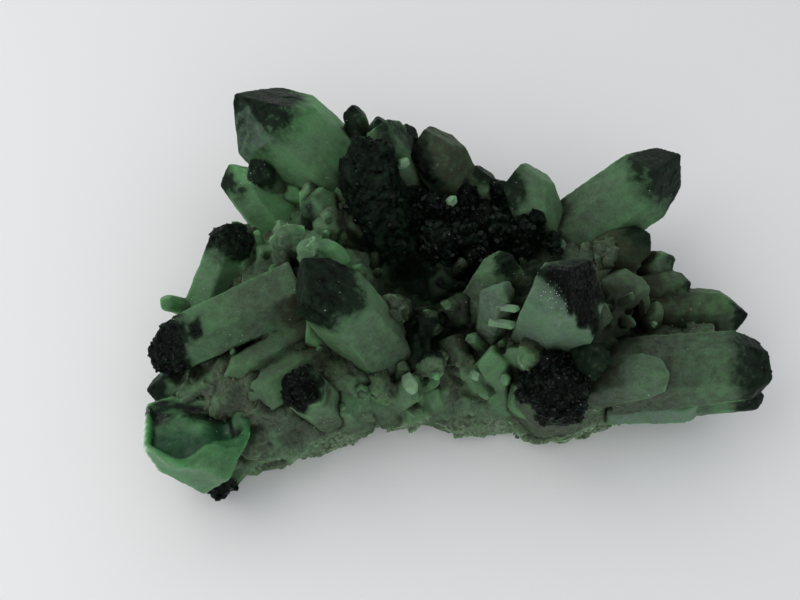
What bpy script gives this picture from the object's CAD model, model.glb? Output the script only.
# %% [markdown]
# # A cluster of green quartz crystals
# Thick six-sided crystals fan out of one lump of granular quartz. Their bodies are frosted green and
# let light in, and their tips wear a near-black crust of tiny crystals. This lesson loads the plain
# solids of the cluster, grows a finer skin over each of them, and gives every skin its stone.

import math
import random
from collections import namedtuple

import bmesh
import bpy
import numpy as np
from mathutils import Matrix, Vector, noise
from mathutils.bvhtree import BVHTree


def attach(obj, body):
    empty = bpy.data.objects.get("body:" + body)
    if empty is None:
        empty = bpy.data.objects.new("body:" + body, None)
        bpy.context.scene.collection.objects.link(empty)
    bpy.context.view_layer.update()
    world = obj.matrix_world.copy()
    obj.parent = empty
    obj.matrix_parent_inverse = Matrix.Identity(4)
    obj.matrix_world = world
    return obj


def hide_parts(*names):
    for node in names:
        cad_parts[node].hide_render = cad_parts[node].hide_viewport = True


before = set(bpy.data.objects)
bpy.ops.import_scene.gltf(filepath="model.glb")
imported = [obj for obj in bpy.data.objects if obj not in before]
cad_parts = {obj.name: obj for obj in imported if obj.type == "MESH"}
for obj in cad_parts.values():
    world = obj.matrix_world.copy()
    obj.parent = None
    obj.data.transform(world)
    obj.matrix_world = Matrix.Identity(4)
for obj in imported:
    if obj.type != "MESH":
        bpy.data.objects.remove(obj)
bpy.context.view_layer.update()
MM = 0.001
scene = bpy.context.scene

# %% [markdown]
# ## The camera
# The cluster is looked at from steeply above, as one looks down on a table. The camera steps back from a
# point of the cluster along a line that rises by 60 degrees, so the view angle is a number to read.

# %% Camera
LOOK_AT = Vector((-16.5, 0, 22)) * MM
VIEW_RISE = math.radians(60)
VIEW_DISTANCE = 345 * MM

step_back = Vector((0, -math.cos(VIEW_RISE), math.sin(VIEW_RISE)))
camera = bpy.data.objects.new("camera", bpy.data.cameras.new("camera"))
camera.data.lens = 50
camera.data.sensor_width = 36
camera.location = LOOK_AT + step_back * VIEW_DISTANCE
camera.rotation_euler = (-step_back).to_track_quat("-Z", "Y").to_euler()
scene.collection.objects.link(camera)
scene.camera = camera
print("camera at", [round(c, 3) for c in camera.location])

# %% [markdown]
# ## Table and light
# Dark stone looks best on a pale table in soft light from the side: the faces turned to it shine grey,
# the others stay deep. One large lamp stands on the left as a window would, a faint one behind, and a
# broad one far in front fills the shadows. The sky lights the rest. It is dimmer on the viewer's side,
# because the black crust mirrors what is there.

# %% Lamps
DAYLIGHT = (0.94, 0.97, 1.0)


def add_lamp(name, place, size, power, colour):
    lamp = bpy.data.objects.new(name, bpy.data.lights.new(name, "AREA"))
    lamp.data.shape = "DISK"
    lamp.data.size = size
    lamp.data.energy = power
    lamp.data.color = colour
    lamp.location = place
    lamp.rotation_euler = (LOOK_AT - Vector(place)).to_track_quat("-Z", "Y").to_euler()
    scene.collection.objects.link(lamp)
    print(name, "of", power, "watts")


add_lamp("window_light", (-0.45, 0.06, 0.48), 0.8, 1.9, (1.0, 0.985, 0.97))
add_lamp("back_light", (0.05, 0.90, 0.70), 1.0, 0.5, (0.96, 0.98, 1.0))
add_lamp("front_fill", (0.05, -1.00, 0.50), 1.4, 6.2, DAYLIGHT)

# %% Sky
SKY_STRENGTH = 0.74
DIM_SHARE = 0.25
DIM_FROM = 0.74
DIM_TO = 0.98


def set_ends(map_range, *ends):
    for socket, end in zip(("From Min", "From Max", "To Min", "To Max"), ends):
        map_range.inputs[socket].default_value = end


world = bpy.data.worlds.new("soft_sky")
world.use_nodes = True
sky = world.node_tree
direction = sky.nodes.new("ShaderNodeTexCoord")
towards_viewer = sky.nodes.new("ShaderNodeVectorMath")
towards_viewer.operation = "DOT_PRODUCT"
towards_viewer.inputs[1].default_value = step_back
falloff = sky.nodes.new("ShaderNodeMapRange")
falloff.interpolation_type = "SMOOTHSTEP"
set_ends(falloff, DIM_FROM, DIM_TO, SKY_STRENGTH, SKY_STRENGTH * DIM_SHARE)
sky.links.new(direction.outputs["Generated"], towards_viewer.inputs[0])
sky.links.new(towards_viewer.outputs["Value"], falloff.inputs["Value"])
sky.links.new(falloff.outputs["Result"], sky.nodes["Background"].inputs["Strength"])
sky.nodes["Background"].inputs["Color"].default_value = (*DAYLIGHT, 1)
scene.world = world
scene.view_settings.view_transform = "Standard"
print("sky strength from", SKY_STRENGTH * DIM_SHARE, "to", SKY_STRENGTH)

# %% Table
TABLE_REACH = 2.5


def mesh_of(form, name):
    mesh = bpy.data.meshes.new(name)
    form.to_mesh(mesh)
    form.free()
    return mesh


def finished(form, name):
    piece = bpy.data.objects.new(name, mesh_of(form, name))
    scene.collection.objects.link(piece)
    return piece


table_form = bmesh.new()
bmesh.ops.create_grid(table_form, x_segments=1, y_segments=1, size=TABLE_REACH)
table = finished(table_form, "table")
table_white = bpy.data.materials.new("table_white")
table_white.use_nodes = True
table_shader = table_white.node_tree.nodes["Principled BSDF"]
table_shader.inputs["Base Color"].default_value = (0.745, 0.74, 0.735, 1)
table_shader.inputs["Roughness"].default_value = 0.55
table.data.materials.append(table_white)
print("table reaches", TABLE_REACH, "m each way")

# %% [markdown]
# ## One quartz crystal
# Quartz grows as a six-sided prism closed by six sloping faces. Every sloping face leans 38.2 degrees
# from the long axis, and real tips look different only because some faces grow more than others. So a
# crystal is made as nature limits it: a cone with six sides, and one plane cut for each sloping face.
# Its corners stand unevenly far out, every second sloping face is set back, and one may lead the others.

# %% A crystal from one prism and six cuts
FACE_LEAN = math.radians(38.2)
TIP_WIDTH = 0.86
UNEVEN_CORNERS = 0.13
UNEVEN_FACES = 0.3
SMALL_FACE_SETBACK = 0.45


def slice_off(form, point, outward):
    everything = form.verts[:] + form.edges[:] + form.faces[:]
    cut = bmesh.ops.bisect_plane(form, geom=everything, plane_co=point, plane_no=outward, clear_outer=True)
    rim = [part for part in cut["geom_cut"] if isinstance(part, bmesh.types.BMEdge)]
    if rim:
        bmesh.ops.contextual_create(form, geom=rim)


def spoke_at(angle, level=1.0, rise=0.0):
    return Vector((level * math.cos(angle), level * math.sin(angle), rise))


def pyramid_direction(face):
    return spoke_at(math.tau * (face + 0.5) / 6, math.cos(FACE_LEAN), math.sin(FACE_LEAN))


def crystal_form(length, width, lead, lead_cut, seed):
    draw = random.Random(seed)
    form = bmesh.new()
    radius = width / 2
    room = length + 2 * width
    bmesh.ops.create_cone(form, cap_ends=True, segments=6, depth=room, radius1=radius,
                          radius2=radius * TIP_WIDTH ** (room / length),
                          matrix=Matrix.Rotation(math.pi / 6, 4, "Z"))
    bmesh.ops.translate(form, vec=(0, 0, room / 2), verts=form.verts)
    for corner in range(6):
        reach = 1 + draw.uniform(-UNEVEN_CORNERS, UNEVEN_CORNERS)
        spoke = spoke_at(math.tau * corner / 6)
        for vert in form.verts:
            flat = Vector((vert.co.x, vert.co.y, 0))
            if flat.length > 0 and flat.normalized().dot(spoke) > 0.99:
                vert.co += flat * (reach - 1)
    for face in range(6):
        setback = radius * (SMALL_FACE_SETBACK * (face % 2) + draw.uniform(0, UNEVEN_FACES))
        if face == lead:
            setback = -lead_cut * width
        slice_off(form, Vector((0, 0, length + setback)), pyramid_direction(face))
    bmesh.ops.translate(form, vec=(0, 0, length - max(v.co.z for v in form.verts)), verts=form.verts)
    slice_off(form, Vector(), Vector((0, 0, -1)))
    form.normal_update()
    return form


# %% [markdown]
# ## The crystals of the cluster
# Each crystal is given by the two ends of its axis and its width, in millimetres. Its black coat lies on
# the pyramid, from so many millimetres above or below the pyramid's edge, or reaches so far down from the
# tip. Crust says how crumbly the coat is, tone runs from bright green at 0 to dark olive at 1, and frost
# is the share of white sugary bloom on the faces that look up. A tone below 0 keeps a crystal bright even
# where it stands in a dark place. Where one sloping face differs from the others, faces gives its
# direction, the share of the coat that stays on it, and its frost.

# %% Crystals that stand on their own
Crystal = namedtuple(
    "Crystal", "foot tip width roll lead lead_cut window coat start reach side crust tone frost faces",
    defaults=(0, 0, 0.0, 0.0, 0.0, 0.0, 0.0, None, 0.0, 0.3, 0.3, ()))
LEFT = (-1, 0, 0)
BACK = (0, 1, 0)
GROUPS = {
    "upper_left_crystals": (
        Crystal((-35, 45, 20), (-67, 63, 49), 34, -15, 0, -0.3, coat=0.62, reach=16, crust=0.12,
                tone=-0.2, frost=0.1, faces=(((-0.69, -0.49, 0.54), 0.5, 1.0),)),
        Crystal((-51, 25, 14), (-71, 43, 35), 18, 10, coat=0.5, reach=9, side=LEFT, tone=-0.6, frost=0.1),
        Crystal((-53, 38, 22), (-63, 38, 42), 9, coat=0.55, reach=8, tone=0.3),
        Crystal((-38, 29, 20), (-43, 25, 42), 13, 30, coat=0.3, reach=8, side=LEFT, tone=0.2),
    ),
    "left_point_crystals": (
        Crystal((-79, 3, 10), (-66.5, 19.5, 36), 16, 0, 5, 0.15, coat=0.68, reach=10, crust=0.5, tone=-0.6),
        Crystal((-69, 6, 12), (-63, 13, 30), 11, 20, tone=0.25),
        Crystal((-82, 2, 12), (-91, 0, 22), 6, tone=0.0),
    ),
    "long_left_crystals": (
        Crystal((-45, -3, 34), (-90.5, -23.5, 28), 20, 0, 1, 0.2, coat=1.0, start=-1.0, crust=1.0,
                tone=0.40),
        Crystal((-39, -11, 28), (-68, -30, 28), 12, tone=0.45),
        Crystal((-33, -18, 26), (-61, -37, 26), 14, 25, tone=0.45),
    ),
    "window_crystal": (
        Crystal((-62, -48, 14), (-86.5, -42, 31), 31, 38, 1, 0.42, 3.5, coat=0.75, start=3, side=BACK,
                tone=0.0, frost=0.0),
    ),
    "capped_stub": (
        Crystal((-38, -34, 14), (-44, -42, 50), 14, coat=1.0, start=-1.5, crust=0.9, tone=0.5),
    ),
    "left_centre_crystal": (
        Crystal((-22, -18, 20), (-41, -14, 62), 22, 20, 1, 0.2, coat=0.66, reach=13, crust=0.2, tone=0.3),
    ),
    "back_block_crystals": (
        Crystal((-18, 22, 18), (-30, 36, 56), 21, 40, 0, 0.15, coat=0.68, reach=60, crust=0.8, tone=0.9),
        Crystal((-15, 35, 18), (-21, 48, 50), 18, coat=0.4, start=1, crust=0.3, tone=0.5),
        Crystal((-14, 35, 18), (-15, 52, 44), 9, coat=0.8, reach=7, tone=0.6),
    ),
    "back_point_crystals": (
        Crystal((5, 36, 16), (-9, 44, 50), 20, coat=0.9, start=-3, side=LEFT, crust=0.4,
                tone=0.95, frost=0.1),
        Crystal((14, 32, 14), (8, 40, 37), 12, 15, coat=0.6, reach=5, tone=0.6),
    ),
    "short_back_point": (
        Crystal((32, 25, 14), (21.5, 37, 42), 20, 10, coat=0.5, reach=9, side=LEFT, tone=0.35),
    ),
    "upper_right_point": (
        Crystal((36, 23, 16), (71, 38, 44), 23, 25, 2, 0.12, coat=0.6, reach=13, crust=0.1, tone=0.30),
    ),
    "right_back_crystal": (
        Crystal((41, 12, 18), (60, 16, 36), 16, 10, coat=0.5, reach=5, tone=1.0, frost=0.0),
    ),
    "right_fan_crystals": (
        Crystal((56, 13, 16), (68, 10, 30), 9, coat=0.5, reach=2, tone=0.5),
        Crystal((53, 5, 16), (73, 3, 28), 11, 20, coat=0.5, reach=2, tone=0.8, frost=0.1),
        Crystal((59, 0, 16), (90, -6, 24), 16, 5, coat=0.7, reach=3, tone=0.65, frost=0.1),
    ),
    "lower_right_crystals": (
        Crystal((45, -26, 20), (92, -26, 30), 21, 30, 1, 0.15, coat=0.6, reach=10, crust=0.15,
                tone=0.65, frost=0.35),
        Crystal((69, -29, 12), (93, -30, 18), 12, coat=0.6, reach=8, crust=0.2, tone=0.25),
        Crystal((46, -31, 12), (75, -32, 14), 11, 15, tone=0.05, frost=0.9),
        Crystal((40, -30, 22), (59, -34, 40), 14, 20, tone=0.6, frost=0.5),
    ),
    "black_capped_crystal": (
        Crystal((29, -14, 18), (31.5, -18, 66), 26, 36, 4, 0.2, coat=1.0, start=0.6, crust=0.5,
                tone=0.25, frost=1.0,
                faces=(((-0.59, -0.53, 0.61), 0.15, 1.0), ((-0.08, 0.72, 0.69), 0.6, 0.3))),
    ),
    "druse_capped_crystals": (
        Crystal((28, -32, 14), (28, -38, 46), 22, 10, coat=1.0, start=-4, crust=1.0, tone=0.8),
        Crystal((28, -34, 8), (17, -33, 28), 12, tone=0.4),
    ),
    "valley_crystals": (
        Crystal((5, -6, 16), (16, 3, 44), 15, coat=0.6, reach=4, tone=0.45),
        Crystal((12, -13, 16), (12, -9, 46), 12, 25, tone=0.6, frost=0.7),
    ),
}
print("crystals of their own:", sum(len(group) for group in GROUPS.values()))

# %% Crystals that are one with the matrix
MATRIX_CRYSTALS = (
    Crystal((-74, -21, 8), (-92.5, -29, 17), 13, coat=0.6, reach=5, tone=0.0),
    Crystal((-66, -45, 12), (-79, -54, 6), 12, 10, tone=0.2),
    Crystal((-62, -46, 10), (-73, -57, 5), 9, 30, coat=0.8, reach=8, crust=1.0),
    Crystal((-62, 14, 14), (-54, 12, 34), 12, 15, tone=0.4),
    Crystal((-48, 7, 16), (-61, 8, 30), 12, 5, tone=0.5),
    Crystal((-35, 40, 16), (-58, 40, 34), 20, 20, tone=-0.3),
    Crystal((-43, -32, 18), (-61, -45, 12), 13, 10, tone=0.4),
    Crystal((-49, 20, 24), (-33, 3, 40), 10, tone=-0.4),
    Crystal((-28, 25, 18), (-35, 33, 38), 9, tone=0.4),
    Crystal((-24, 21, 16), (-31, 23, 36), 9, 25, tone=0.6),
    Crystal((-32, -22, 22), (-43, -15, 38), 12, 40, tone=0.3),
    Crystal((-31, -34, 8), (-36, -36, 28), 11, 20, tone=0.4),
    Crystal((-34, 40, 12), (-35, 58, 36), 10, tone=0.4),
    Crystal((-26, 49, 20), (-32, 59, 44), 9, 10, coat=0.7, reach=5, tone=0.5),
    Crystal((-28, 38, 14), (-27, 57, 34), 8, 20, tone=0.5),
    Crystal((-21, 49, 20), (-23, 52, 46), 9, 30, coat=0.6, reach=4, tone=0.5),
    Crystal((-28, -34, 6), (-32, -31, 26), 8, 15, tone=0.4),
    Crystal((-19, -33, 8), (-24, -30, 24), 10, tone=0.5),
    Crystal((-24, -23, 14), (-26, -21, 34), 9, 50, tone=0.4),
    Crystal((-18, -30, 14), (-12, -34, 32), 10, 40, tone=0.4),
    Crystal((-16, -7, 14), (-17, -7, 34), 9, tone=0.7),
    Crystal((-13, -21, 12), (-12, -18, 32), 11, 35, coat=0.7, reach=5, tone=0.6),
    Crystal((-13, -33, 10), (-13, -29, 28), 8, 20, tone=0.0),
    Crystal((-9, -9, 12), (-9, -6, 28), 9, 10, tone=0.8),
    Crystal((-4, -31, 8), (-8, -30, 22), 7, 5, tone=0.3),
    Crystal((-4, 20, 20), (-4, 14, 40), 12, 10, coat=0.8, reach=20, crust=0.8, tone=0.9),
    Crystal((-2, 1, 12), (-4, 5, 30), 10, 25, tone=0.8),
    Crystal((1, -23, 10), (-1, -17, 30), 11, tone=0.7),
    Crystal((6, 20, 18), (5, 16, 38), 9, coat=0.8, reach=20, crust=0.8, tone=0.9),
    Crystal((9, -27, 8), (5, -26, 24), 6, tone=0.1),
    Crystal((15, -29, 10), (10, -23, 32), 12, 15, tone=0.1),
    Crystal((20, 20, 14), (22, 20, 36), 10, 25, coat=0.8, reach=8, crust=0.8, tone=0.7),
    Crystal((21, -23, 14), (18, -23, 34), 9, 45, tone=0.2),
    Crystal((26, 17, 16), (19, 20, 34), 10, coat=0.8, reach=12, crust=0.8, tone=0.8),
    Crystal((36, 24, 16), (35, 29, 34), 10, 20, coat=0.7, reach=5, tone=0.5),
    Crystal((41, 24, 16), (43, 30, 33), 9, 10, tone=0.5),
    Crystal((37, -14, 14), (50, -10, 32), 13, 30, tone=0.3),
    Crystal((46, -22, 12), (47, -22, 28), 10, 10, coat=0.5, reach=5, tone=0.8),
    Crystal((48, 6, 16), (55, -4, 36), 13, 5, tone=0.6),
    Crystal((60, -12, 14), (61, -4, 28), 8, 20, tone=0.6),
)
print("crystals of the matrix:", len(MATRIX_CRYSTALS))


# %% [markdown]
# ## A crystal in its place
# A form that grew along +Z is turned onto its axis with one matrix. The form with a window gets its
# biggest sloping face extruded twice, each time a bit smaller: the flat step leaves the rim, and the
# sunk one makes the floor.

# %% Turn a form onto its axis
WINDOW_SHARE = 0.86


def open_window(form, outward, depth):
    facing = [face for face in form.faces if face.normal.dot(outward) > 0.99]
    window = max(facing, key=lambda face: face.calc_area())
    for sink in (0.0, depth):
        window = bmesh.ops.extrude_discrete_faces(form, faces=[window])["faces"][0]
        to_centre = Matrix.Translation(-window.calc_center_median())
        bmesh.ops.scale(form, vec=(WINDOW_SHARE,) * 3, space=to_centre, verts=window.verts)
        bmesh.ops.translate(form, vec=-outward * sink, verts=window.verts)


def turn_of(crystal):
    axis = Vector(crystal.tip) - Vector(crystal.foot)
    roll = Matrix.Rotation(math.radians(crystal.roll), 4, "Z")
    return axis.to_track_quat("Z", "Y").to_matrix().to_4x4() @ roll


def placed(crystal, form):
    stand = Matrix.Translation(Vector(crystal.foot) * MM)
    bmesh.ops.transform(form, matrix=stand @ turn_of(crystal), verts=form.verts)
    form.normal_update()
    return form


def grown(crystal, seed):
    length = (Vector(crystal.tip) - Vector(crystal.foot)).length * MM
    return crystal_form(length, crystal.width * MM, crystal.lead, crystal.lead_cut, seed)


# %% [markdown]
# ## Where the coat lies
# Coat and tone depend on which crystal a point of the surface belongs to, and on where it sits on that
# crystal. A crystal is the space behind all its face planes, so the distance to each plane answers both.

# %% Distances to the planes of a crystal
Planes = namedtuple("Planes", "crystal foot axis length prism pyramid")
PRISM_SLANT = 0.3


def face_planes(form, axis, lowest, highest):
    chosen = [face for face in form.faces if lowest < face.normal.dot(axis) <= highest]
    normals = np.array([face.normal for face in chosen])
    offsets = np.array([face.normal.dot(face.calc_center_median()) for face in chosen])
    return normals, offsets


def planes_of(crystal, form):
    foot = Vector(crystal.foot) * MM
    axis = Vector(crystal.tip) * MM - foot
    unit = axis.normalized()
    return Planes(crystal, np.array(foot), np.array(unit), axis.length,
                  face_planes(form, unit, -PRISM_SLANT, PRISM_SLANT),
                  face_planes(form, unit, PRISM_SLANT, 1.0))


def beyond(points, planes):
    normals, offsets = planes
    return (points @ normals.T - offsets).max(axis=1)


def distance_to(points, planes):
    below_foot = (planes.foot - points) @ planes.axis
    return np.maximum(np.maximum(beyond(points, planes.prism), beyond(points, planes.pyramid)), below_foot)


# %% Grow every crystal once
GROUP_SEEDS = 100
MATRIX_SEEDS = 5000


def grown_in_place(crystals, first_seed):
    return [placed(crystal, grown(crystal, first_seed + order)) for order, crystal in enumerate(crystals)]


group_forms = {}
all_planes = {}
for number, (name, crystals) in enumerate(GROUPS.items()):
    group_forms[name] = grown_in_place(crystals, GROUP_SEEDS * number)
    all_planes[name] = [planes_of(crystal, form) for crystal, form in zip(crystals, group_forms[name])]
matrix_forms = grown_in_place(MATRIX_CRYSTALS, MATRIX_SEEDS)
matrix_planes = [planes_of(crystal, form) for crystal, form in zip(MATRIX_CRYSTALS, matrix_forms)]
print("crystals grown:", sum(len(marks) for marks in all_planes.values()), "and", len(matrix_planes))

# %% [markdown]
# ## One skin over a group
# Crystals that grow into each other share one surface. A voxel remesh gives that: it fills the joined
# shapes with small cubes and wraps them in an even net, which also rounds the edges as frosting does.
# The even net is what the relief needs, and the same net carries the coat and the tone of each point.

# %% Grow a skin
SKIN = 0.55 * MM
LOWEST = 0.05 * MM


def grow_skin(piece, size):
    skin = piece.modifiers.new("skin", "REMESH")
    skin.mode = "VOXEL"
    skin.voxel_size = size
    bpy.context.view_layer.update()
    graph = bpy.context.evaluated_depsgraph_get()
    mesh = bpy.data.meshes.new_from_object(piece.evaluated_get(graph))
    piece.modifiers.clear()
    piece.data = mesh
    return piece


def joined(forms):
    whole = bmesh.new()
    for form in forms:
        mesh = bpy.data.meshes.new("form")
        form.to_mesh(mesh)
        whole.from_mesh(mesh)
        bpy.data.meshes.remove(mesh)
    return whole


# %% Read and write the points of a piece
def vectors_of(rows, name):
    vectors = np.empty(len(rows) * 3, np.float32)
    rows.foreach_get(name, vectors)
    return vectors.reshape(-1, 3).astype(float)


def points_of(piece):
    return vectors_of(piece.data.vertices, "co")


def normals_of(piece):
    return vectors_of(piece.data.vertex_normals, "vector")


def move_points(piece, points):
    points[:, 2] = np.maximum(points[:, 2], LOWEST)
    piece.data.vertices.foreach_set("co", points.astype(np.float32).ravel())
    piece.data.update()


def keep_on_points(piece, name, values):
    kept = piece.data.attributes.get(name) or piece.data.attributes.new(name, "FLOAT", "POINT")
    kept.data.foreach_set("value", np.asarray(values, np.float32))


def kept_on_points(piece, name):
    values = np.empty(len(piece.data.vertices), np.float32)
    piece.data.attributes[name].data.foreach_get("value", values)
    return values


# %% [markdown]
# ## Shades of a place
# The valley between the crystals is overgrown with dark druse, and everything near it is darker and more
# olive. Soft egg-shaped fields say how near such a place a point is, and every piece asks them.

# %% Fields
VALLEY, VALLEY_REACH = (-8, 6, 14), (30, 38, 38)
CAVITY, CAVITY_REACH = (2, 26, 26), (22, 12, 18)
DARK_PLACES = ((VALLEY, VALLEY_REACH, 0.8), ((47, -12, 26), (16, 20, 20), 0.8),
               ((-42, 22, 24), (12, 10, 14), 0.3))
GLINTS = (((26, -21, 61), 6), ((37, -40, 40), 7), ((-64, 38, 38), 6), ((-46, -8, 44), 4), ((3, 24, 34), 9))


def ramp(values, low, high):
    share = np.clip((values - low) / (high - low), 0, 1)
    return share * share * (3 - 2 * share)


def waves(points, size, shift=0.0):
    return np.array([noise.noise((x / size + shift, y / size, z / size)) for x, y, z in points])


def nearness(points, centre, reach):
    away = np.linalg.norm((points / MM - np.array(centre)) / np.array(reach), axis=1)
    return 1 - ramp(away, 0.35, 1.0)


# %% Facets and smoothing
OTHER_CELLS = 7.3
KEPT_SHARE = 0.4


def facets(points, size, tilt):
    """Height of flat facets of a size, each tilted its own way."""
    heights = np.empty(len(points))
    for number, point in enumerate((points / size).tolist()):
        centre = noise.voronoi(point)[1][0]
        lean = noise.cell_vector(centre * OTHER_CELLS)
        heights[number] = sum((p - c) * (part - 0.5) for p, c, part in zip(point, centre, lean))
    return heights * size * tilt


def evened(piece, values, rounds):
    """Each value drawn towards the mean of its neighbours, so many times."""
    ends = np.empty(len(piece.data.edges) * 2, np.int32)
    piece.data.edges.foreach_get("vertices", ends)
    first, second = ends.reshape(-1, 2).T
    neighbours = np.maximum(np.bincount(ends, minlength=len(values)), 1)
    for _ in range(rounds):
        around = np.bincount(first, values[second], len(values))
        around += np.bincount(second, values[first], len(values))
        values = KEPT_SHARE * values + (1 - KEPT_SHARE) * around / neighbours
    return values


print("dark places:", len(DARK_PLACES), "glinting places:", len(GLINTS))


# %% [markdown]
# ## How much sky a point sees
# Dust, clay and dark druse stay in the crevices, and bloom only grows on what stands free. So every
# point of a skin sends a few rays to the sky through the plain solids and counts those that get out.

# %% Share of open sky
SKY_RAYS = 12
SKY_REACH = 30 * MM
OFF_THE_SKIN = 0.8 * MM
GRAZING = 0.1
SKY_OF_UNDERSIDES = 0.3
SKY_ROUNDS = 4


def sky_rays(count):
    turn = math.pi * (3 - math.sqrt(5))
    for number in range(count):
        rise = (number + 0.5) / count
        yield spoke_at(turn * number, math.sqrt(1 - rise * rise), rise)


def open_sky(piece, tree):
    points, normals = points_of(piece), normals_of(piece)
    starts = (points + normals * OFF_THE_SKIN).tolist()
    seen, whole = np.zeros(len(points)), np.zeros(len(points))
    for ray in sky_rays(SKY_RAYS):
        facing = normals @ np.array(ray)
        for number in np.flatnonzero(facing > GRAZING).tolist():
            whole[number] += facing[number]
            if tree.ray_cast(starts[number], ray, SKY_REACH)[0] is None:
                seen[number] += facing[number]
    share = np.where(whole > 0, seen / np.maximum(whole, GRAZING), SKY_OF_UNDERSIDES)
    return evened(piece, share, SKY_ROUNDS)


everything = joined([form for forms in group_forms.values() for form in forms])
everything.from_mesh(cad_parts["matrix"].data)
solids_tree = BVHTree.FromBMesh(everything)
print("faces that can hide the sky:", len(everything.faces))
everything.free()

# %% [markdown]
# ## The looks of each point
# The edge of a black coat is ragged and fades out, and the foot of a crystal is more olive than its tip.
# Near the tip a sloping face keeps its coat, even one that is bare lower down. A point of a skin takes
# all of this from the crystal whose planes it lies closest to.

# %% Coat of a crystal and of its faces
SHORTEST_FADE = 2.0
EDGE_FADE = 2.2 * MM
FACE_MARGIN = 1.5 * MM
SAME_FACE = 0.93
KEPT_TIP = (0.88, 0.95)


def coat_of(points, mark, ragged):
    crystal = mark.crystal
    if crystal.reach:
        edge = (points - mark.foot) @ mark.axis - mark.length + crystal.reach * MM
        fade = max(SHORTEST_FADE, 0.5 * crystal.reach) * MM
    else:
        edge = beyond(points, mark.pyramid) - beyond(points, mark.prism) - crystal.start * MM
        fade = EDGE_FADE
    dark = crystal.coat * ramp(edge + ragged, -fade, fade)
    if crystal.side:
        towards = Vector(crystal.side)
        towards = (towards - Vector(mark.axis) * towards.dot(Vector(mark.axis))).normalized()
        sideways = (points - mark.foot) @ np.array(towards)
        dark *= ramp(sideways + ragged, -0.1 * crystal.width * MM, 0.2 * crystal.width * MM)
    return dark


def face_looks(points, mark, dark, frost):
    normals, offsets = mark.pyramid
    outermost = normals[(points @ normals.T - offsets).argmax(axis=1)]
    sloping = beyond(points, mark.pyramid) > beyond(points, mark.prism) - FACE_MARGIN
    for direction, share, face_frost in mark.crystal.faces:
        on_face = sloping & (outermost @ np.array(direction) > SAME_FACE)
        height = ((points[on_face] - mark.foot) @ mark.axis) / mark.length
        dark[on_face] *= share + (1 - share) * ramp(height, *KEPT_TIP)
        frost[on_face] = face_frost


# %% Mark each point with its crystal's looks
OLIVE_FOOT = 0.35


def mark_crystals(piece, marks):
    """Looks of each point, and how far it lies outside the nearest crystal."""
    points = points_of(piece)
    nearest = np.full(len(points), 1.0)
    looks = {name: np.zeros(len(points)) for name in ("coat", "crust", "tone", "frost")}
    ragged = waves(points, 6.0 * MM) * 3.6 * MM + waves(points, 1.6 * MM) * 1.2 * MM
    for mark in marks:
        dark = coat_of(points, mark, ragged)
        frost = np.full(len(points), mark.crystal.frost)
        if mark.crystal.faces:
            face_looks(points, mark, dark, frost)
        distance = distance_to(points, mark)
        here = distance < nearest
        nearest[here] = distance[here]
        looks["coat"][here] = dark[here]
        looks["frost"][here] = frost[here]
        looks["crust"][here] = mark.crystal.crust
        height = ((points[here] - mark.foot) @ mark.axis) / mark.length
        looks["tone"][here] = mark.crystal.tone + OLIVE_FOOT * (1 - ramp(height, 0.15, 0.75))
    looks["crust"] *= ramp(looks["coat"], 0.1, 0.8)
    return looks, nearest


def keep_looks(piece, looks, crevices=1.0):
    """Darken what sees little sky, bare it of bloom, and keep all looks on the points."""
    points, normals = points_of(piece), normals_of(piece)
    free = open_sky(piece, solids_tree)
    gloom = crevices * (1 - ramp(free, 0.10, 0.85))
    for centre, reach, share in DARK_PLACES:
        gloom += share * nearness(points, centre, reach)
    looks["tone"] = np.clip(looks["tone"] + gloom, 0, 1)
    looks["gloom"] = np.clip(1.3 * gloom - 0.55, 0, 1)
    looks["frost"] = looks["frost"] * ramp(free, 0.3, 0.9) * ramp(normals[:, 2], -0.6, 0.3)
    looks["glint"] = np.max([nearness(points, place, (size,) * 3) for place, size in GLINTS], axis=0)
    for name, values in looks.items():
        keep_on_points(piece, name, evened(piece, values, 1))


# %% [markdown]
# ## Relief
# No face of such a crystal is a true plane. The green faces swell and sink a little, and the crusted
# ones are covered with knobs of a few millimetres. Both are made by moving each point of the skin along
# its normal, by slow waves and faint facets for the faces and by tilted cells for the crust.

# %% Move the points of a skin
SWELL = 0.30 * MM
FACE_WAVE = 0.22 * MM
CRUST_KNOB = 1.8 * MM


def relief(piece, knob_size=CRUST_KNOB):
    points = points_of(piece)
    crust = kept_on_points(piece, "crust")
    move = SWELL + waves(points, 6.0 * MM) * FACE_WAVE + waves(points, 1.7 * MM, 9.0) * FACE_WAVE * 0.5
    move += facets(points, 5.0 * MM, 0.07)
    rough = crust > 0.05
    move[rough] += crust[rough] * facets(points[rough], knob_size, 0.8)
    move_points(piece, points + normals_of(piece) * move[:, None])


# %% [markdown]
# ## Frosted green quartz
# The stone is cloudy: light goes in, scatters and comes out a few millimetres further on, greener than
# before. Subsurface scattering does that without the cost of real glass. Slow noise makes the clouds,
# the tone and the coat darken them, and tiny tilted facets stand for the sugary frosting.

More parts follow.
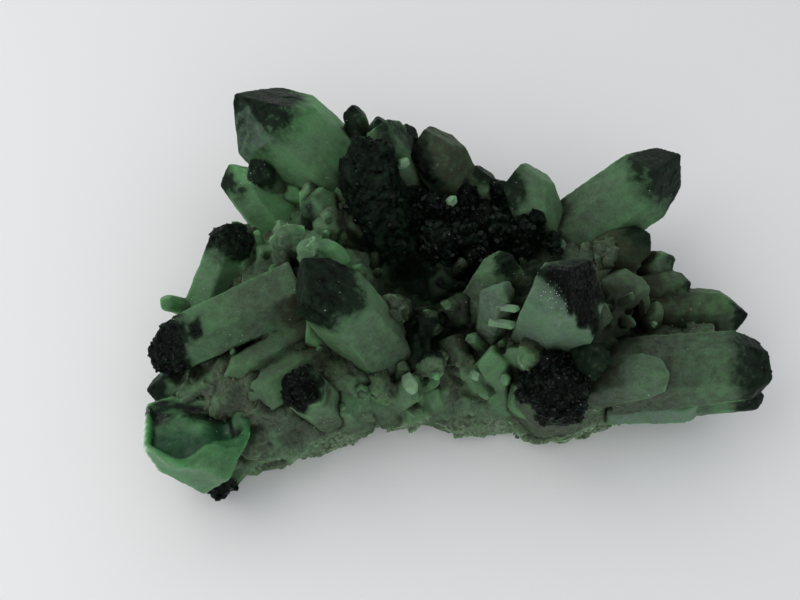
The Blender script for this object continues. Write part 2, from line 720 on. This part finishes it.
# %% Nodes of a stone
class Nodes:
    def __init__(self, name):
        self.material = bpy.data.materials.new(name)
        self.material.use_nodes = True
        self.tree = self.material.node_tree
        self.shader = self.tree.nodes["Principled BSDF"]
        self.place = self.add("ShaderNodeTexCoord").outputs["Object"]

    def add(self, kind, **settings):
        node = self.tree.nodes.new(kind)
        for key, value in settings.items():
            setattr(node, key, value)
        return node

    def feed(self, socket, value):
        if isinstance(value, bpy.types.NodeSocket):
            self.tree.links.new(value, socket)
        else:
            socket.default_value = value

    def pattern(self, kind, size):
        node = self.add(kind)
        self.feed(node.inputs["Vector"], self.place)
        node.inputs["Scale"].default_value = 1 / size
        return node

    def noise(self, size, detail=3.0, roughness=0.5):
        node = self.pattern("ShaderNodeTexNoise", size)
        node.inputs["Detail"].default_value = detail
        node.inputs["Roughness"].default_value = roughness
        return node.outputs["Fac"]

    def kept(self, name):
        return self.add("ShaderNodeAttribute", attribute_name=name).outputs["Fac"]

    def math(self, operation, first, second=0.0, clamp=False):
        node = self.add("ShaderNodeMath", operation=operation, use_clamp=clamp)
        self.feed(node.inputs[0], first)
        self.feed(node.inputs[1], second)
        return node.outputs[0]

    def between(self, value, low, high, to_low=0.0, to_high=1.0):
        node = self.add("ShaderNodeMapRange", clamp=True)
        self.feed(node.inputs["Value"], value)
        set_ends(node, low, high, to_low, to_high)
        return node.outputs[0]

    def mix(self, share, first, second, blend="MIX"):
        node = self.add("ShaderNodeMix", data_type="RGBA", blend_type=blend)
        self.feed(node.inputs[0], share)
        self.feed(node.inputs[6], (*first, 1.0) if isinstance(first, tuple) else first)
        self.feed(node.inputs[7], (*second, 1.0) if isinstance(second, tuple) else second)
        return node.outputs[2]

    def set(self, **sockets):
        for name, value in sockets.items():
            self.feed(self.shader.inputs[name.replace("_", " ")], value)


# %% Patterns of a stone
class Stone(Nodes):
    def vector(self, operation, first, second=None, scale=1.0):
        node = self.add("ShaderNodeVectorMath", operation=operation)
        self.feed(node.inputs[0], first)
        if second is not None:
            self.feed(node.inputs[1], second)
        if operation == "SCALE":
            node.inputs["Scale"].default_value = scale
        return node.outputs["Value" if operation == "DOT_PRODUCT" else 0]

    def facets(self, size):
        """Height of small flat facets, each tilted its own way."""
        cells = self.pattern("ShaderNodeTexVoronoi", size)
        tilt = self.vector("SUBTRACT", cells.outputs["Color"], (0.5, 0.5, 0.5))
        offset = self.vector("SUBTRACT", self.vector("SCALE", self.place, scale=1 / size),
                             cells.outputs["Position"])
        return self.vector("DOT_PRODUCT", offset, tilt)

    def specks(self, size, share):
        """One here and there: the middle of a share of the cells, the rest zero."""
        cells = self.pattern("ShaderNodeTexVoronoi", size)
        chance = self.add("ShaderNodeSeparateColor")
        self.feed(chance.inputs[0], cells.outputs["Color"])
        chosen = self.math("LESS_THAN", chance.outputs[0], share)
        return self.math("MULTIPLY", self.between(cells.outputs["Distance"], 0.12, 0.30, 1.0, 0.0), chosen)

    def bump(self, height, distance, strength=1.0, under=None):
        node = self.add("ShaderNodeBump")
        self.feed(node.inputs["Height"], height)
        node.inputs["Distance"].default_value = distance
        self.feed(node.inputs["Strength"], strength)
        if under is not None:
            self.feed(node.inputs["Normal"], under)
        return node.outputs[0]


# %% Colours and body of the green quartz
BRIGHT, CLOUDY, OLIVE = (0.088, 0.225, 0.086), (0.092, 0.172, 0.088), (0.030, 0.037, 0.019)
DEEP, GLOOM = (0.009, 0.018, 0.010), (0.0045, 0.0065, 0.0040)
BLACK, CHARCOAL = (0.0008, 0.0012, 0.0010), (0.0035, 0.0050, 0.0040)
BLOOM, SUGAR, PALE = (0.108, 0.148, 0.122), (0.50, 0.56, 0.50), (0.15, 0.21, 0.13)
MILKY = (0.46, 0.55, 0.45)


def green_body(stone, bright, cloudy, shaded):
    """Two greens in clouds, shaded by tone, with bloom, pale grains and milky places, dark in crevices."""
    clouds = stone.between(stone.noise(13 * MM, 4.0, 0.6), 0.35, 0.65)
    mottle = stone.between(stone.noise(3.2 * MM, 3.0, 0.6), 0.35, 0.7, -0.16, 0.22)
    body = stone.mix(clouds, bright, cloudy)
    body = stone.mix(stone.math("ADD", stone.kept("tone"), mottle, clamp=True), body, shaded)
    bloom = stone.between(stone.noise(1.7 * MM, 4.0, 0.65), 0.28, 0.60)
    body = stone.mix(stone.math("MULTIPLY", stone.kept("frost"), bloom), body, BLOOM)
    pale = stone.between(stone.noise(1.1 * MM, 3.0, 0.7), 0.38, 0.58)
    body = stone.mix(stone.math("MULTIPLY", stone.kept("grain"), pale), body, PALE)
    body = stone.mix(stone.kept("milky"), body, MILKY)
    grain = stone.between(stone.noise(0.5 * MM, 2.0, 0.7), 0.3, 0.7, 0.84, 1.16)
    body = stone.mix(1.0, body, grain, "MULTIPLY")
    return stone.mix(stone.kept("gloom"), body, GLOOM)


# %% Green quartz with its black coat
QUARTZ_IOR = 1.54
SPARKLES, GLINTING_SPARKLES = 0.006, 0.30


def green_quartz(name, bright=BRIGHT, cloudy=CLOUDY, shaded=OLIVE, depth=4.5 * MM, rough=0.50, gloss=0.04):
    stone = Stone(name)
    body = green_body(stone, bright, cloudy, shaded)
    smoke = stone.between(stone.noise(2.4 * MM, 4.0, 0.6), 0.3, 0.7, 0.55, 1.45)
    coat = stone.math("MULTIPLY", stone.kept("coat"), smoke)
    body = stone.mix(stone.between(coat, 0.03, 0.42), body, DEEP)
    crust = stone.mix(stone.between(stone.noise(1.4 * MM, 3.0), 0.42, 0.75), BLACK, CHARCOAL)
    dark = stone.between(coat, 0.45, 0.85)
    body = stone.mix(dark, body, crust)
    share = stone.math("ADD", stone.math("MULTIPLY", stone.kept("glint"), GLINTING_SPARKLES), SPARKLES)
    less_on_black = stone.between(dark, 0.0, 1.0, 1.0, 0.25)
    sparkle = stone.math("MULTIPLY", stone.specks(0.55 * MM, share), less_on_black)
    lets_light_in = stone.between(coat, 0.1, 0.7, 0.85, 0.0)
    stone.set(Base_Color=stone.mix(sparkle, body, SUGAR),
              Subsurface_Weight=stone.math("SUBTRACT", lets_light_in, sparkle, clamp=True),
              Roughness=stone.between(dark, 0.0, 1.0, rough, 0.32))
    stone.shader.inputs["Subsurface Radius"].default_value = (0.5, 1.0, 0.5)
    stone.shader.inputs["Subsurface Scale"].default_value = depth
    stone.shader.inputs["IOR"].default_value = QUARTZ_IOR
    stone.shader.inputs["Specular IOR Level"].default_value = gloss
    sugar = stone.bump(stone.facets(0.5 * MM), 0.22 * MM, 0.4)
    grit = stone.bump(stone.facets(0.8 * MM), 0.5 * MM, stone.kept("grain"), sugar)
    crumbs = stone.between(stone.kept("crust"), 0.1, 0.9)
    stone.set(Normal=stone.bump(stone.facets(1.1 * MM), 0.8 * MM, crumbs, grit))
    print(name, "has", len(stone.tree.nodes), "nodes")
    return stone.material


# %% [markdown]
# ## The floor of the window
# The sunk face of the window crystal isn't flat. Two blobs of clear quartz rise from it between dark
# walls, and the front of its rim is lower and worn. So points near a blob move out along the face's
# direction, those of the rim move in, and worn ones are drawn to the middle of their neighbours.

# %% Floor and rim of the window
WINDOW_SWELLS = (((-84, -42, 22), 7.0, 2.4), ((-75, -43, 24), 6.5, 2.0), ((-77, -53, 33), 8.0, -4.0),
                 ((-65, -46, 30), 8.0, -3.0))
WORN_RIM = (((-63, -45, 29), (9, 9, 9)), ((-77, -52, 32), (11, 9, 9)))
WORN_ROUNDS = 25
SUNK_FROM, SUNK_FULLY = 0.8 * MM, 2.0 * MM
STEEP = 0.6
SUNK_TONE, LUMP_TONE, WALL_COAT = 0.60, 0.9, 0.8


def swell_window(piece, looks, mark):
    """Blobs of clear quartz on the sunk floor, a worn front rim, and dark walls round them."""
    crystal = mark.crystal
    outward = np.array(turn_of(crystal) @ pyramid_direction(crystal.lead))
    points, normals = points_of(piece), normals_of(piece)
    depth = -beyond(points, mark.pyramid)
    sunk = ramp(depth, SUNK_FROM, SUNK_FULLY) * (beyond(points, mark.prism) < -SUNK_FROM)
    lumps = np.zeros(len(points))
    uneven = waves(points, 3.0 * MM, 5.0) * 0.2
    for centre, reach, height in WINDOW_SWELLS:
        away = np.linalg.norm(points / MM - np.array(centre), axis=1) / reach
        bulge = 1 - ramp(away + uneven, 0.2, 1.2)
        points += outward * (bulge * height * MM)[:, None]
        lumps = np.maximum(lumps, bulge * (height > 0))
    for centre, reach in WORN_RIM:
        smooth = np.stack([evened(piece, points[:, side], WORN_ROUNDS) for side in range(3)], axis=1)
        points += (smooth - points) * nearness(points, centre, reach)[:, None]
    wall = sunk * (np.abs(normals @ outward) < STEEP) * (1 - lumps)
    looks["tone"] = looks["tone"] + sunk * (SUNK_TONE - LUMP_TONE * lumps)
    looks["coat"] = np.maximum(looks["coat"], WALL_COAT * wall)
    looks["milky"] = ramp(-normals[:, 0], 0.2, 0.7) * (1 - sunk) * ramp(-points[:, 0], 80 * MM, 87 * MM)
    move_points(piece, points)


print("the window has", len(WINDOW_SWELLS), "swells")

# %% [markdown]
# ## Build the big crystals
# Every group of the table becomes one piece, which stands for the solid of the same name. The crystals
# that are one with the matrix come later, in the skin of the matrix itself.

# %% Pieces of the big crystals
def dress(piece, material, node=None):
    piece.data.materials.clear()
    piece.data.materials.append(material)
    piece.data.shade_smooth()
    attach(piece, "root")
    if node:
        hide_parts(node)
    print(piece.name, "triangles:", sum(len(face.vertices) - 2 for face in piece.data.polygons))
    return piece


KNOBS = {"back_block_crystals": 5.0 * MM, "druse_capped_crystals": 2.4 * MM}
CREVICES = {"window_crystal": 0.3, "left_point_crystals": 0.5, "upper_left_crystals": 0.6,
            "long_left_crystals": 0.7}
OTHER_CREVICES = 0.9


def crystal_piece(name):
    marks = all_planes[name]
    piece = grow_skin(finished(joined(group_forms[name]), name + "_skin"), SKIN)
    looks, _ = mark_crystals(piece, marks)
    if marks[0].crystal.window:
        swell_window(piece, looks, marks[0])
    keep_looks(piece, looks, CREVICES.get(name, OTHER_CREVICES))
    relief(piece, KNOBS.get(name, CRUST_KNOB))
    return piece


frosted = green_quartz("frosted_green_quartz")
clear = green_quartz("clear_green_quartz", (0.050, 0.170, 0.062), (0.080, 0.168, 0.076),
                     (0.012, 0.058, 0.022), 8 * MM, 0.25, 0.15)
crystal_pieces = {}
for name, crystals in GROUPS.items():
    main = crystals[0]
    if main.window:
        open_window(group_forms[name][0], turn_of(main) @ pyramid_direction(main.lead), main.window * MM)
    material = clear if main.window else frosted
    crystal_pieces[name] = dress(crystal_piece(name), material, name)

# %% [markdown]
# ## The matrix
# The rock between the crystals is quartz too, but as a mass of grains. Its solid already has the lumps
# and the middling crystals, so a copy of it gets a fine skin. It is made in two halves, which keeps each
# of them light. They overlap a little, and one is lifted by a hair, so that no seam shows. Where a
# crystal stands in the rock, the grains have crept up its sides, so the rock is raised close to it.

# %% Ridges and looks of the rock
RIDGES, RIDGES_REACH = (-60, -40, 20), (30, 24, 26)
RIDGE_DIRECTION = Vector((-0.80, -0.58, 0.12)).normalized()
ROCK_TONE, STAIN_TONE, SLOPE_TONE, RIDGE_LIGHT = 0.15, 0.35, 0.5, 2.0
CAVITY_COAT, VALLEY_COAT, ROCK_FROST = 0.95, 0.25, 0.25


def ridged(points):
    """Long ridges that run down the slope at the lower left, side by side."""
    along = points @ np.array(RIDGE_DIRECTION)
    across = points - along[:, None] * np.array(RIDGE_DIRECTION) * 0.8
    return waves(across, 7 * MM, 2.0) * nearness(points, RIDGES, RIDGES_REACH)


def rock_looks(piece, looks, away):
    """Looks of the rock between the middling crystals, and how much of a point is rock."""
    points = points_of(piece)
    rock = ramp(away, 0.1 * MM, 1.2 * MM)
    hollow = nearness(points + waves(points, 6 * MM)[:, None] * 5 * MM, VALLEY, VALLEY_REACH)
    cavity = nearness(points + waves(points, 4 * MM)[:, None] * 4 * MM, CAVITY, CAVITY_REACH)
    low = 1 - ramp(points[:, 2], 5 * MM, 17 * MM)
    patches = ramp(waves(points, 9 * MM, 4.0), -0.35, 0.30)
    black = CAVITY_COAT * cavity + VALLEY_COAT * hollow
    looks["coat"] = np.clip(np.maximum(looks["coat"], black), 0, 1)
    looks["crust"] = np.clip(np.maximum(looks["crust"], cavity), 0, 1)
    stains = ramp(waves(points, 14 * MM, 7.0), -0.3, 0.4)
    slope = nearness(points, RIDGES, RIDGES_REACH)
    tone = ROCK_TONE + STAIN_TONE * stains + SLOPE_TONE * slope - RIDGE_LIGHT * ridged(points)
    looks["tone"] += rock * tone
    looks["frost"] = np.maximum(looks["frost"], ROCK_FROST * rock) * (1 - 0.7 * hollow)
    looks["grain"] = rock * (0.25 + 0.75 * low * patches) * (1 - hollow)
    return rock


print("ridges run along", [round(part, 2) for part in RIDGE_DIRECTION])

# %% Skin of the matrix
MATRIX_SKIN = 0.66 * MM
SAME_POINT = 0.001 * MM
CREEP, CREEP_REACH = 1.4 * MM, 4.0 * MM
RIDGE_HEIGHT = 6.5 * MM
ROCK_KNOB = 2.4 * MM
OVERLAP = 0.8 * MM
HAIR = 0.06 * MM
HALVES = {"matrix_left_skin": (Vector((1, 0, 0)), 0.0), "matrix_right_skin": (Vector((-1, 0, 0)), HAIR)}


def copy_of_solid(node):
    form = bmesh.new()
    form.from_mesh(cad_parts[node].data)
    bmesh.ops.remove_doubles(form, verts=form.verts, dist=SAME_POINT)
    return form


def distance_to_crystals(points):
    return np.min([distance_to(points, mark) for marks in all_planes.values() for mark in marks], axis=0)


for name, (outward, lift) in HALVES.items():
    rock_form = copy_of_solid("matrix")
    slice_off(rock_form, outward * OVERLAP, outward)
    piece = grow_skin(finished(rock_form, name), MATRIX_SKIN)
    looks, away = mark_crystals(piece, matrix_planes)
    rock = rock_looks(piece, looks, away)
    keep_looks(piece, looks)
    spots = points_of(piece)
    lumpy = waves(spots, 9 * MM) * 1.2 * MM + facets(spots, 6.0 * MM, 0.60) + facets(spots, 2.6 * MM, 0.45)
    lumpy += lift + ridged(spots) * RIDGE_HEIGHT
    creep = CREEP * (1 - ramp(distance_to_crystals(spots), 0, CREEP_REACH))
    move_points(piece, spots + normals_of(piece) * (rock * (lumpy + creep))[:, None])
    relief(piece, ROCK_KNOB)
    crystal_pieces[name] = dress(piece, frosted, "matrix")

# %% [markdown]
# ## Crystals too small to place by hand
# Between the big crystals the rock bristles with small ones, half sunk in the grains around them. They
# are strewn over the skin of the rock, each leaning away from the nearer of two centres deep in the rock,
# and each is a little crystal of the same kind as the big ones, with its edges taken off.

# %% Forms to sow
Sown = namedtuple("Sown", "place direction width tone dark_tip milky", defaults=(0.0, 0.0, 0.0))
FORM_SEED = 41
SMALL_FROST = 0.5


def small_meshes(count, shortest, longest, soften):
    draw = random.Random(FORM_SEED)
    meshes = []
    for number in range(count):
        length = draw.uniform(shortest, longest)
        form = crystal_form(length, 1.0, draw.randrange(6), draw.uniform(0.0, 0.2), number)
        if soften:
            bmesh.ops.bevel(form, geom=form.edges[:], offset=soften, segments=1, profile=0.5,
                            affect="EDGES", material=-1)
        meshes.append(mesh_of(form, "small_form"))
    return meshes


def sow(name, seeds, meshes, draw):
    whole = bmesh.new()
    looks = {look: [] for look in ("coat", "tone", "frost", "milky")}
    for seed in seeds:
        mesh = draw.choice(meshes).copy()
        top = max(vert.co.z for vert in mesh.vertices)
        looks["coat"] += [seed.dark_tip * (vert.co.z > 0.5 * top) for vert in mesh.vertices]
        for look, value in (("tone", seed.tone), ("frost", SMALL_FROST), ("milky", seed.milky)):
            looks[look] += [value] * len(mesh.vertices)
        spin = Matrix.Rotation(draw.uniform(0, math.tau), 4, "Z") @ Matrix.Scale(seed.width, 4)
        turn = seed.direction.to_track_quat("Z", "Y").to_matrix().to_4x4()
        mesh.transform(Matrix.Translation(seed.place) @ turn @ spin)
        whole.from_mesh(mesh)
        bpy.data.meshes.remove(mesh)
    return finished(whole, name), {look: np.array(values) for look, values in looks.items()}


# %% Where to sow
def spots_on(piece, allowed, spacing, most, draw):
    """Some allowed points of a piece, at most one in each cube of the spacing."""
    points, normals = points_of(piece), normals_of(piece)
    order = list(np.flatnonzero(allowed))
    draw.shuffle(order)
    taken, chosen = set(), []
    for number in order:
        cell = tuple(np.floor(points[number] / spacing).astype(int))
        if cell not in taken:
            taken.add(cell)
            chosen.append((Vector(points[number]), Vector(normals[number])))
        if len(chosen) == most:
            break
    return chosen


def jitter(draw, amount):
    return Vector([draw.uniform(-amount, amount) for _ in range(3)])


# %% Small green crystals on the matrix
SMALL_WIDTHS = (2.4, 3.0, 3.8, 4.8)
SMALL_SUNK = 1.3
MOST_ON_A_HALF = 30
BARE_FOOT = 17 * MM
MILKY_SHARE = 0.15
GROWTH_CENTRES = (Vector((-42, -8, -22)) * MM, Vector((38, -8, -22)) * MM)
MILKY_ONES = (((11.6, -13.0, 41.2), (0.95, -0.3, 0.2), 2.6), ((9.8, -14.8, 35.6), (1.0, -0.3, 0.15), 3.0),
              ((-17.5, 38.0, 41.0), (0.3, -0.5, 0.8), 3.6), ((-14.0, -31.0, 29.0), (0.1, -0.6, 0.8), 4.5),
              ((4.5, -25.0, 22.0), (0.2, -0.6, 0.8), 3.2), ((-1.0, 27.0, 36.0), (0.1, -0.5, 0.9), 3.4))
draw = random.Random(12)
seeds = [Sown(Vector(place) * MM, Vector(direction).normalized(), width * MM, milky=MILKY_SHARE)
         for place, direction, width in MILKY_ONES]
for half in HALVES:
    skin = crystal_pieces[half]
    spots = points_of(skin)
    clumps = waves(spots, 13 * MM, 3.0)
    open_rock = ((distance_to_crystals(spots) > 0.3 * MM) & (spots[:, 2] > BARE_FOOT)
                 & (nearness(spots, RIDGES, RIDGES_REACH) < 0.3)
                 & (normals_of(skin)[:, 2] > 0.2) & (clumps > 0.0) & (kept_on_points(skin, "coat") < 0.4))
    for place, normal in spots_on(skin, open_rock, 7.0 * MM, MOST_ON_A_HALF, draw):
        centre = min(GROWTH_CENTRES, key=lambda c: (place - c).length)
        direction = ((place - centre).normalized() + 0.8 * normal + jitter(draw, 0.3)).normalized()
        width = draw.choice(SMALL_WIDTHS) * draw.uniform(0.9, 1.1) * MM
        shade = nearness(np.array([place]), VALLEY, VALLEY_REACH)[0]
        dark_tip = 0.8 if draw.random() < 0.5 * shade else 0.0
        tone = draw.uniform(0.0, 0.5)
        seeds.append(Sown(place - direction * width * SMALL_SUNK, direction, width, tone, dark_tip))
small, looks = sow("small_green_crystals", seeds, small_meshes(10, 2.1, 3.0, 0.02), draw)
keep_looks(small, looks, 0.6)
dress(small, frosted).data.shade_flat()
print("small crystals:", len(seeds))

# %% [markdown]
# ## Black druse
# The black caps are a crust of crystals one to a few millimetres high. A few forms are grown once and
# then sown by the hundred over the crusted skins, each standing on the surface under it.

# %% Stone of the black druse
GREEN_BLACK, SPECK = (0.004, 0.010, 0.006), (0.20, 0.22, 0.22)


def black_druse(name):
    stone = Stone(name)
    dark = stone.mix(stone.between(stone.noise(2.2 * MM, 2.0), 0.4, 0.65), BLACK, GREEN_BLACK)
    stone.set(Base_Color=stone.mix(stone.specks(0.8 * MM, 0.03), dark, SPECK),
              Roughness=stone.between(stone.noise(1.2 * MM, 1.0), 0.3, 0.7, 0.16, 0.40),
              Normal=stone.bump(stone.noise(0.4 * MM, 2.0), 0.05 * MM, 0.6))
    stone.shader.inputs["IOR"].default_value = QUARTZ_IOR
    stone.shader.inputs["Specular IOR Level"].default_value = 0.10
    print(name, "has", len(stone.tree.nodes), "nodes")
    return stone.material


druse_stone = black_druse("black_druse")

# %% Sow black druse
DRUSE = {"long_left_crystals": (130, 1.3), "capped_stub": (110, 1.1), "black_capped_crystal": (50, 1.0),
         "druse_capped_crystals": (300, 1.6), "back_block_crystals": (60, 2.6),
         "left_point_crystals": (60, 1.1)}
CRUST_SPACING = 0.75
CAVITY_SPACING = 1.7 * MM
MOST_IN_CAVITY = 240


def druse_on(piece, allowed, spacing, most, widths, size, sunk):
    """Crystals that stand unevenly on the allowed points of a piece, their feet sunk in it."""
    for place, normal in spots_on(piece, allowed, spacing, most, draw):
        direction = (normal + jitter(draw, 0.7)).normalized()
        width = draw.uniform(*widths) * size * MM
        yield Sown(place - direction * width * sunk, direction, width)


seeds = []
for name, (most, widest) in DRUSE.items():
    piece = crystal_pieces[name]
    crusted = (kept_on_points(piece, "crust") > 0.4) & (kept_on_points(piece, "coat") > 0.65)
    seeds += druse_on(piece, crusted, CRUST_SPACING * widest * MM, most, (0.5, 1.0), widest, 0.9)
for name in HALVES:
    piece = crystal_pieces[name]
    in_cavity = (kept_on_points(piece, "crust") > 0.5) & (distance_to_crystals(points_of(piece)) > 0)
    seeds += druse_on(piece, in_cavity, CAVITY_SPACING, MOST_IN_CAVITY, (1.2, 2.8), 1.0, 0.7)
druse, _ = sow("black_druse_crystals", seeds, small_meshes(6, 1.1, 1.5, 0.0), draw)
dress(druse, druse_stone).data.shade_flat()
print("druse crystals:", len(seeds))
